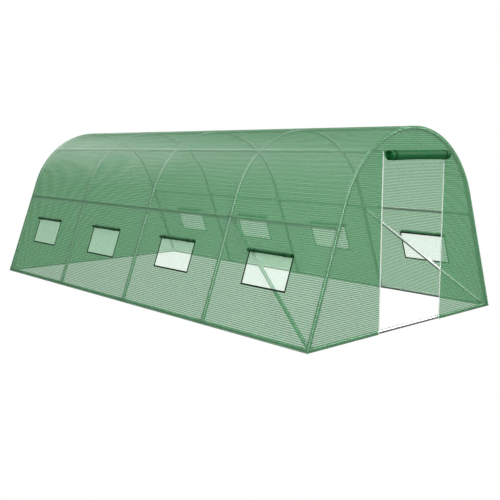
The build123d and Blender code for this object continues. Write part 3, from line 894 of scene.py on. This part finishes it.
# ------------------------------------------------------------------ rolled-up door
def build_door():
    pitch, r0 = 0.0036, 0.0022
    r1 = DR_R - 0.0004
    turns = (r1 - r0) / pitch
    T = np.linspace(0, turns * 2 * np.pi, int(turns * 44) + 1)
    A = np.linspace(-DR_HALF, DR_HALF, 61)
    ph = rng.uniform(0, 6.28, 8)
    yg = SY - END - 0.0012
    # the flap leaves the gable behind the roll, goes up over the top and round the front
    rows = [np.stack([A, np.full(61, y), np.full(61, z)], -1) for y, z in ((yg, DR_Z + 0.0420), (yg - 0.0008, DR_Z + 0.0330), (yg - 0.0026, DR_Z + 0.0250))]
    start = math.radians(23)
    for t in T:
        ang = start + t
        r = r1 - pitch * t / (2 * math.pi)
        tel = 0.0016 * math.sin(t / 6.283 * 1.9 + ph[3]) + 0.0009 * math.sin(t / 6.283 * 4.3 + ph[4]) - 0.0022
        k = min(1, t / 1.5)
        wob = 0.0006 * np.sin(7 * A + ph[0]) + 0.0004 * np.sin(19 * A + ph[1] + 0.6 * t) + 0.0005 * np.sin(2 * t + ph[2] + 4 * A)
        rr = np.maximum(r + (wob - 0.0010) * k * min(1, r / 0.012), 0.0010)
        rows.append(np.stack([A * (1 + tel / DR_HALF * k), DR_Y + math.cos(ang) * rr, DR_Z + math.sin(ang) * rr], -1))
    P = np.array(rows)
    d = np.linalg.norm(np.diff(P[:, 30, :], axis=0), axis=1)
    run = np.concatenate([[0], np.cumsum(d)])
    AA = np.repeat(A[None, :], len(rows), 0)
    RR = np.repeat(run[:, None], len(A), 1)
    f = grid_faces(len(rows), len(A))
    o = make("door_flap_rolled", P.reshape(-1, 3), f, M_ROLL, np.stack([AA.ravel(), RR.ravel()], -1))
    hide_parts("door_roll")
    b = Batch()
    for sgn in (-1, 1):
        wound_end(b, (sgn * (DR_HALF - 0.0060), DR_Y, DR_Z), (sgn, 0, 0), (0, 0, 1), r1 - 0.0022, pitch, 0.0010)
    o = b.make("door_roll_ends", M_ROLL)
    # ties
    b = Batch()
    for x in (-DR_HALF + 0.070, DR_HALF - 0.070):
        r = DR_R - 0.0002
        pts = [(x, DR_Y + math.cos(t) * r, DR_Z + math.sin(t) * r) for t in np.radians(np.linspace(16, 344, 60))]
        tie_band(b, pts, (-1, 0, 0), 0.013, 0.0010)
    o = b.make("door_ties", M_DSTRAP)
    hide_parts("door_roll_straps")
    # zips: a woven tape with one row of teeth, set off to alternate sides, and a slider near the top
    for word, sgn in (("left", -1), ("right", 1)):
        xc = sgn * (ZIP_IN + ZIP_OUT) / 2
        half = (ZIP_OUT - ZIP_IN) / 2
        Z = spaced([0.0015, ZIP_TOP], 0.02)
        prof = [(-half, 0.0002), (-half * 0.85, 0.0007), (0, 0.0009), (half * 0.85, 0.0007), (half, 0.0002)]
        P = np.array([[(xc + a, SY - END - o_, z) for a, o_ in prof] for z in Z])
        C = np.stack([np.repeat(Z[:, None], 5, 1).ravel(), np.repeat(np.array([p[0] for p in prof])[None, :], len(Z), 0).ravel()], -1)
        f = grid_faces(len(Z), 5)
        o = make("zip_tape_" + word, P.reshape(-1, 3), f, M_TAPE, C)
        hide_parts("door_zip_" + word)
        b = Batch()
        z = 0.004
        k = 0
        while z < ZIP_TOP - 0.01:
            for c0 in (-1,):
                x0, x1 = xc - 0.0024, xc + 0.0024
                y0, y1 = SY - END - 0.0009, SY - END - 0.0026
                dx = 0.0007 * (1 if k % 2 else -1)
                v = [(x0 + dx, y0, z), (x1 + dx, y0, z), (x1 + dx - 0.0005, y1, z + 0.0002), (x0 + dx + 0.0005, y1, z + 0.0002),
                     (x0 + dx, y0, z + 0.0017), (x1 + dx, y0, z + 0.0017), (x1 + dx - 0.0005, y1, z + 0.0015), (x0 + dx + 0.0005, y1, z + 0.0015)]
                b.add(v, [(0, 1, 2, 3), (7, 6, 5, 4), (3, 2, 6, 7), (0, 3, 7, 4), (1, 5, 6, 2)])
            z += 0.0027
            k += 1
        o = b.make("zip_teeth_" + word, M_ZIP, smooth=False)
        # slider with a pull tab
        b = Batch()
        zc = 1.640
        add_rounded_box(b, (xc, SY - END - 0.0040, zc), (0.0055, 0.0028, 0.0085), 0.0018)
        add_rounded_box(b, (xc, SY - END - 0.0074, zc + 0.001), (0.0020, 0.0012, 0.0055), 0.0008)
        add_rounded_box(b, (xc, SY - END - 0.0080, zc - 0.020), (0.0038, 0.0009, 0.0160), 0.0007)
        o = b.make("zip_slider_" + word, M_ZIP)


def add_rounded_box(batch, centre, half, r):
    """Box with chamfered edges, 24 corners."""
    cx, cy, cz = centre
    hx, hy, hz = half
    v, key = [], {}
    for sx in (-1, 1):
        for sy in (-1, 1):
            for sz in (-1, 1):
                for a in range(3):
                    p = [sx * (hx - r), sy * (hy - r), sz * (hz - r)]
                    p[a] += (sx, sy, sz)[a] * r
                    key[(sx, sy, sz, a)] = len(v)
                    v.append((cx + p[0], cy + p[1], cz + p[2]))
    f = []
    for a in range(3):
        b_, c_ = [(1, 2), (2, 0), (0, 1)][a]
        for s in (-1, 1):
            q = []
            for (u, w) in ((-1, -1), (1, -1), (1, 1), (-1, 1)):
                k = [0, 0, 0]
                k[a], k[b_], k[c_] = s, u, w
                q.append(key[(*k, a)])
            f.append(q if s > 0 else q[::-1])
    for a in range(3):
        b_, c_ = [(1, 2), (2, 0), (0, 1)][a]
        for u in (-1, 1):
            for w in (-1, 1):
                k0, k1 = [0, 0, 0], [0, 0, 0]
                k0[a], k0[b_], k0[c_] = -1, u, w
                k1[a], k1[b_], k1[c_] = 1, u, w
                q = [key[(*k0, b_)], key[(*k1, b_)], key[(*k1, c_)], key[(*k0, c_)]]
                f.append(q if u * w > 0 else q[::-1])
    for sx in (-1, 1):
        for sy in (-1, 1):
            for sz in (-1, 1):
                q = [key[(sx, sy, sz, a)] for a in range(3)]
                f.append(q if sx * sy * sz > 0 else q[::-1])
    batch.add(v, f)


# ------------------------------------------------------------------ bolts on the connectors
def add_bolt(batch, p, n, r=0.0062, high=0.0045, shank=0.002):
    """Hexagon head on a washer, pointing along n."""
    p, n = Vector(p), Vector(n).normalized()
    a = n.orthogonal().normalized()
    b = n.cross(a)
    v, f = [], []

    def ring(h, rad, k, turn=0.0):
        base = len(v)
        for i in range(k):
            t = 2 * math.pi * i / k + turn
            v.append(tuple(p + n * h + a * (math.cos(t) * rad) + b * (math.sin(t) * rad)))
        return base

    K = 18
    w0, w1, w2 = ring(-shank, r * 1.35, K), ring(0.0011, r * 1.35, K), ring(0.0014, r * 1.22, K)
    for lo_, hi_ in ((w0, w1), (w1, w2)):
        for i in range(K):
            f.append((lo_ + i, lo_ + (i + 1) % K, hi_ + (i + 1) % K, hi_ + i))
    f.append([w2 + i for i in range(K)])
    h0, h1, h2 = ring(0.0013, r, 6), ring(high - 0.0008, r, 6), ring(high, r * 0.84, 6)
    for lo_, hi_ in ((h0, h1), (h1, h2)):
        for i in range(6):
            f.append((lo_ + i, lo_ + (i + 1) % 6, hi_ + (i + 1) % 6, hi_ + i))
    f.append([h2 + i for i in range(6)])
    batch.add(v, f)


def add_weld(batch, c, axis, r, lump=0.0011, k=36):
    """Bead where a socket is welded to its sleeve."""
    c, axis = Vector(c), Vector(axis).normalized()
    a = axis.orthogonal().normalized()
    b = axis.cross(a)
    v, f = [], []
    for i in range(k):
        t = 2 * math.pi * i / k
        d = a * math.cos(t) + b * math.sin(t)
        q = c + d * r
        g = lump * (1 + 0.25 * math.sin(9 * t))
        for j in range(5):
            u = math.pi * (j / 4)
            v.append(tuple(q + axis * (math.cos(u) * g * 1.6) + d * (math.sin(u) * g)))
    for i in range(k):
        for j in range(4):
            i2 = (i + 1) % k
            f.append((i * 5 + j, i2 * 5 + j, i2 * 5 + j + 1, i * 5 + j + 1))
    batch.add(v, f)


def build_bolts():
    bolts, welds = Batch(), Batch()
    arm = 0.060
    for i, y in enumerate(HOOPS):
        sides = ([-1] if i > 0 else []) + ([1] if i < 4 else [])
        # arch connectors: ridge and shoulders
        for deg in (0, 38, -38):
            t = math.radians(deg)
            n = Vector((math.sin(t), 0, math.cos(t)))
            c = Vector((R_TUBE * math.sin(t), y, ZC + R_TUBE * math.cos(t)))
            for e in (-1, 1):
                tt = t + e * 0.040 / R_TUBE
                cc = Vector((R_TUBE * math.sin(tt), y, ZC + R_TUBE * math.cos(tt)))
                nn = Vector((-math.sin(tt), 0, -math.cos(tt)))
                add_bolt(bolts, cc + nn * SLEEVE_R, nn)
            for d in sides:
                cc = c + Vector((0, d * 0.042, 0))
                add_bolt(bolts, cc - n * SOCKET_R, -n)
                add_weld(welds, c + Vector((0, d * (SLEEVE_R - 0.0002), 0)), (0, d, 0), SOCKET_R * 0.992)
        ex = R_TUBE / CA + ZC * SA / CA - EAVE_Z * SA / CA
        for sx in (-1, 1):
            up = Vector((-sx * SA, 0, CA))
            out = Vector((sx * CA, 0, SA))
            c = Vector((sx * ex, y, EAVE_Z))
            brace_here = i == 1
            for e in (-1, 1):
                if not (brace_here and e == -1):
                    add_bolt(bolts, c + up * (e * 0.042) - out * SLEEVE_R, -out)
            for d in sides:
                add_bolt(bolts, c + Vector((0, d * 0.042, 0)) - out * SOCKET_R, -out)
                add_weld(welds, c + Vector((0, d * (SLEEVE_R - 0.0002), 0)), (0, d, 0), SOCKET_R * 0.992)
            # feet
            c = Vector((sx * BASE_X, y, BASE_Z))
            add_bolt(bolts, c + up * 0.070 - out * 0.0203 if i != 0 else c + up * 0.079 - out * 0.0203, -out)
            for d in sides:
                add_bolt(bolts, c + Vector((0, d * 0.060, 0)) - Vector((sx * 0.0205, 0, 0)), (-sx, 0, 0))
            if i in (0, 4):
                add_bolt(bolts, c + Vector((-sx * 0.060, 0, 0.0204)), (0, 0, 1))
    # brace ends: a bolt through each flat
    off = 0.0212 + 0.0004 + 0.003
    for sx in (-1, 1):
        up = Vector((-sx * SA, 0, CA))
        inn = Vector((-sx * CA, 0, -SA))
        ex = R_TUBE / CA + ZC * SA / CA - EAVE_Z * SA / CA
        top = Vector((sx * ex, HOOPS[1], EAVE_Z)) + inn * off
        foot = Vector((sx * BASE_X, HOOPS[0] + 0.030, BASE_Z)) + up * 0.022 + inn * off
        add_bolt(bolts, top, inn, r=0.0075, high=0.0058)
        add_bolt(bolts, foot, inn, r=0.0075, high=0.0058)
    o = bolts.make("connector_bolts", M_BOLT, smooth=False)
    o = welds.make("connector_welds", M_FIT)


# ------------------------------------------------------------------ CAD pieces keep their shapes
TUBES = ["hoop_front", "hoop_second", "hoop_middle", "hoop_fourth", "hoop_rear", "ridge_purlin", "shoulder_purlin_right",
         "shoulder_purlin_left", "eave_purlin_right", "eave_purlin_left", "base_rail_right", "base_rail_left",
         "base_rail_front", "base_rail_rear", "brace_right", "brace_left"]
FITTINGS = ["ridge_connectors", "shoulder_connectors", "eave_connectors", "base_connectors"]


def paint(names, mat):
    for n in names:
        o = nodes[n]
        if not o.material_slots:
            o.data.materials.append(mat)
        for s in o.material_slots:
            s.material = mat


paint(TUBES, M_TUBE)
paint(FITTINGS, M_FIT)
build_cover()
build_gables()
build_hem()
build_seams()
build_windows()
build_door()
build_bolts()

# the film is thin and bright from both sides: lamps reach the tubes under it unshaded
for o in bpy.data.objects:
    if o.type == "MESH" and o.name.startswith(("cover_sheet", "gable_", "hem_", "edge_tape")) and o.name.endswith(("sheet", "left", "right", "rear", "front")):
        if o.data.materials and o.data.materials[0] in (M_FILM, M_HEM, M_SEAM):
            o.visible_shadow = False

# ------------------------------------------------------------------ floor, light, camera
scene = bpy.context.scene


def build_floor():
    me = bpy.data.meshes.new("floor")
    e = 60.0
    me.from_pydata([(-e, -e, 0), (e, -e, 0), (e, e, 0), (-e, e, 0)], [], [(0, 1, 2, 3)])
    o = bpy.data.objects.new("floor", me)
    scene.collection.objects.link(o)
    m = Mat("floor_pale")
    em = m.t.nodes.new("ShaderNodeEmission")
    em.inputs[0].default_value = (1, 1, 1, 1)
    em.inputs[1].default_value = 1.0
    df = m.t.nodes.new("ShaderNodeBsdfDiffuse")
    lp = m.t.nodes.new("ShaderNodeLightPath")
    m.link(m.mixc(lp.outputs["Is Glossy Ray"], (0.55, 0.555, 0.55), (0.12, 0.122, 0.12)), df.inputs[0])
    mix = m.t.nodes.new("ShaderNodeMixShader")
    m.link(lp.outputs["Is Camera Ray"], mix.inputs[0])
    m.link(df.outputs[0], mix.inputs[1])
    m.link(em.outputs[0], mix.inputs[2])
    me.materials.append(m.surface(mix.outputs[0]))
    o.location.z = -0.0002


def build_world():
    w = bpy.data.worlds.new("studio")
    scene.world = w
    w.use_nodes = True
    t = w.node_tree
    t.nodes.clear()
    out = t.nodes.new("ShaderNodeOutputWorld")
    lp = t.nodes.new("ShaderNodeLightPath")
    white = t.nodes.new("ShaderNodeBackground")
    white.inputs[0].default_value = (1, 1, 1, 1)
    white.inputs[1].default_value = 1.0
    sky = t.nodes.new("ShaderNodeBackground")
    tc = t.nodes.new("ShaderNodeTexCoord")
    sep = t.nodes.new("ShaderNodeSeparateXYZ")
    t.links.new(tc.outputs["Generated"], sep.inputs[0])
    rp = t.nodes.new("ShaderNodeValToRGB")
    el = rp.color_ramp.elements
    el.new(0.35)
    el.new(0.75)
    for e, (p, v) in zip(el, ((0.0, 0.16), (0.35, 0.22), (0.75, 0.36), (1.0, 0.38))):
        e.position, e.color = p, (v, v * 1.01, v * 1.01, 1)
    t.links.new(sep.outputs[2], rp.inputs[0])
    t.links.new(rp.outputs[0], sky.inputs[0])
    sky.inputs[1].default_value = 1.0
    mix = t.nodes.new("ShaderNodeMixShader")
    t.links.new(lp.outputs["Is Camera Ray"], mix.inputs[0])
    t.links.new(sky.outputs[0], mix.inputs[1])
    t.links.new(white.outputs[0], mix.inputs[2])
    t.links.new(mix.outputs[0], out.inputs[0])


def area_light(name, loc, aim, size, power, size_y=None):
    d = bpy.data.lights.new(name, "AREA")
    d.energy = power
    d.shape = "RECTANGLE"
    d.size = size
    d.size_y = size_y or size
    o = bpy.data.objects.new(name, d)
    o.location = loc
    o.rotation_euler = (Vector(aim) - Vector(loc)).to_track_quat("-Z", "Y").to_euler()
    o.visible_camera = False
    scene.collection.objects.link(o)
    return o


build_floor()
build_world()
area_light("key", (-5.64, -6.78, 6.72), (0, 0, 1.0), 4.0, 950, 10.4)
area_light("rim", (-0.5, 7.0, 7.6), (-0.3, 0, 1.0), 5.0, 620, 9.0)
area_light("side_back", (11.0, 2.0, 4.5), (0.5, 0, 1.0), 6.0, 440, 4.0)
area_light("front_right", (8.0, -8.0, 7.0), (0, -2.0, 1.0), 7.0, 760, 7.0)

cam_data = bpy.data.cameras.new("camera")
cam_data.lens = 745.06 / 500 * 36
cam_data.sensor_width = 36
cam_data.dof.use_dof = False
cam_data.clip_start, cam_data.clip_end = 0.05, 200
cam = bpy.data.objects.new("camera", cam_data)
cam.location = (-6.1108, -7.3524 + SY, 1.8005)
cam.rotation_euler = (math.radians(90 - 7.931), 0, math.radians(-42.133))
scene.collection.objects.link(cam)
scene.camera = cam
scene.view_settings.view_transform = "Standard"
scene.view_settings.look = "None"
scene.view_settings.exposure = 0
scene.view_settings.gamma = 1
